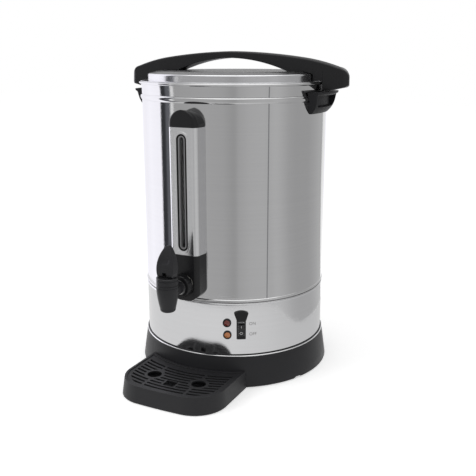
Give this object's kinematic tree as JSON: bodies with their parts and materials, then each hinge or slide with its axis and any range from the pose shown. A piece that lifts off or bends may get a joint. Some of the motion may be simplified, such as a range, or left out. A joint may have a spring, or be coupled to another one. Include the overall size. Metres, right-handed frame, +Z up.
{
  "type": "hot water urn",
  "caption": "Upright stainless hot water urn with a lever tap, sight gauge, lift-off lid with arched handle, side handles, rocker switch, pilot lamps and a slide-off drip tray.",
  "frame": {"origin": "on the urn's axis, on the surface that the urn stands on", "axes": "+Z up along the urn's axis, -Y towards the tap and the tray, +X to the right seen from the tap"},
  "size_m": [0.375, 0.4108, 0.4977],
  "materials": {
    "steel_shell": "polished stainless sheet with fine upright grain",
    "steel_inner": "satin stainless",
    "steel_band": "bright polished stainless",
    "bright_trim": "bright polished",
    "black_plastic": "fine moulded satin",
    "black_gloss": "smooth moulded gloss",
    "tap_plastic": "smooth semi-gloss",
    "tray_plastic": "fine grained satin",
    "black_rubber": "matt rubber",
    "silicone": "translucent silicone",
    "zinc_plate": "zinc plated sheet",
    "screw_steel": "turned stainless",
    "cast_alloy": "cast aluminium",
    "element_sheath": "annealed sheath",
    "ceramic_white": "ceramic",
    "lead_sleeve": "heat resisting sleeve",
    "red_lens": "tinted clear plastic",
    "amber_lens": "tinted clear plastic",
    "gauge_glass": "clear borosilicate"
  },
  "bodies": {
    "urn": {"upper_shell": "steel_shell", "tank_bottom": "steel_inner", "lower_band": "steel_band", "base_trim_ring": "bright_trim", "base_moulding": "black_plastic", "bottom_cover": "zinc_plate", "foot_ring": "black_rubber", "base_pillars": "zinc_plate", "base_screws": "screw_steel", "heat_plate": "cast_alloy", "heating_element": "element_sheath", "boil_dry_cutout": "ceramic_white", "simmer_thermostat": "ceramic_white", "thermostat_bridge": "zinc_plate", "terminal_block": "ceramic_white", "internal_leads": "lead_sleeve", "cable_gland": "black_plastic", "gland_nut": "black_plastic", "switch_frame": "black_gloss", "switch_hood": "black_gloss", "heating_lamp_bezel": "black_gloss", "heating_lamp_lens": "red_lens", "ready_lamp_bezel": "black_gloss", "ready_lamp_lens": "amber_lens", "gauge_cover": "steel_shell", "gauge_window_gasket": "black_rubber", "gauge_window_liner": "steel_band", "gauge_cap": "black_gloss", "gauge_cap_screw": "screw_steel", "gauge_foot": "black_gloss", "gauge_tube": "gauge_glass", "gauge_backing": "black_plastic", "gauge_seals": "silicone", "tap_shank": "steel_inner", "shank_nut": "screw_steel", "shank_seals": "silicone", "tap_nut": "black_gloss", "tap_body": "tap_plastic", "tap_collar": "tap_plastic", "tap_spring": "screw_steel", "side_handle_left": "black_plastic", "side_handle_right": "black_plastic", "side_handle_screws": "screw_steel"},
    "lid": {"lid_pan": "steel_shell", "lid_handle": "black_gloss", "lid_screws": "screw_steel", "lid_washers": "silicone"},
    "tray": {"tray_bowl": "tray_plastic", "tray_feet": "black_rubber"},
    "grille": {"tray_grille": "tray_plastic"},
    "rocker": {"switch_rocker": "black_gloss"},
    "valve_stem": {"tap_stem": "tap_plastic", "tap_seat_cup": "silicone", "lever_pin": "screw_steel"},
    "lever": {"tap_lever": "tap_plastic"}
  },
  "joints": [
    {"name": "lid_lift", "type": "slide", "parent": "urn", "child": "lid", "axis": [0, 0, 1], "range_m": [0, 0.15]},
    {"name": "tray_slide", "type": "slide", "parent": "urn", "child": "tray", "axis": [0, -1, 0], "range_m": [0, 0.08]},
    {"name": "grille_lift", "type": "slide", "parent": "tray", "child": "grille", "axis": [0, 0, 1], "range_m": [0, 0.03]},
    {"name": "rocker_tilt", "type": "hinge", "parent": "urn", "child": "rocker", "pos_m": [0.07114, -0.12174, 0.0925], "axis": [0.8634, 0.5045, 0], "range_deg": [-20, 0]},
    {"name": "stem_lift", "type": "slide", "parent": "urn", "child": "valve_stem", "axis": [0, 0, 1], "range_m": [0, 0.0035], "deforming": ["tap_spring"]},
    {"name": "lever_tilt", "type": "hinge", "parent": "valve_stem", "child": "lever", "pos_m": [0, -0.213, 0.197], "axis": [1, 0, 0], "range_deg": [0, 35], "stiffness_Nm_per_rad": 0.35, "springref_deg": -11.46}
  ],
  "couplings": [
    {"joint": "stem_lift", "follows": "lever_tilt", "m_per_rad": 0.0057296}
  ]
}
